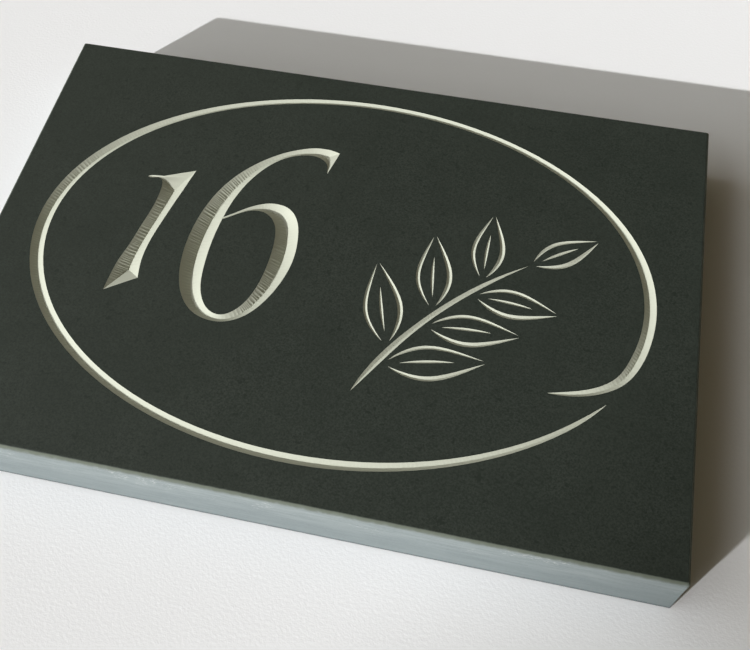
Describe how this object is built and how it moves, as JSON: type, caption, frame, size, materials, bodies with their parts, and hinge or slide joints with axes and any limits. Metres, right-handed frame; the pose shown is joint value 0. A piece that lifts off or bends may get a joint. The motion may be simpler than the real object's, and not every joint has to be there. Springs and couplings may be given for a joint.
{
  "type": "house number plaque",
  "caption": "Flat slate plaque that shows a house number on a wall, with V-cut figures, an oval border and a leaf sprig.",
  "frame": {"origin": "centre of the back face, where the plaque lies on a surface or against a wall", "axes": "+Z out of the carved face, +X in reading direction, +Y towards the top of the figures"},
  "size_m": [0.215, 0.153, 0.02],
  "materials": {
    "slate": "matte"
  },
  "bodies": {
    "root": {"slate_plaque": "slate"}
  },
  "joints": []
}
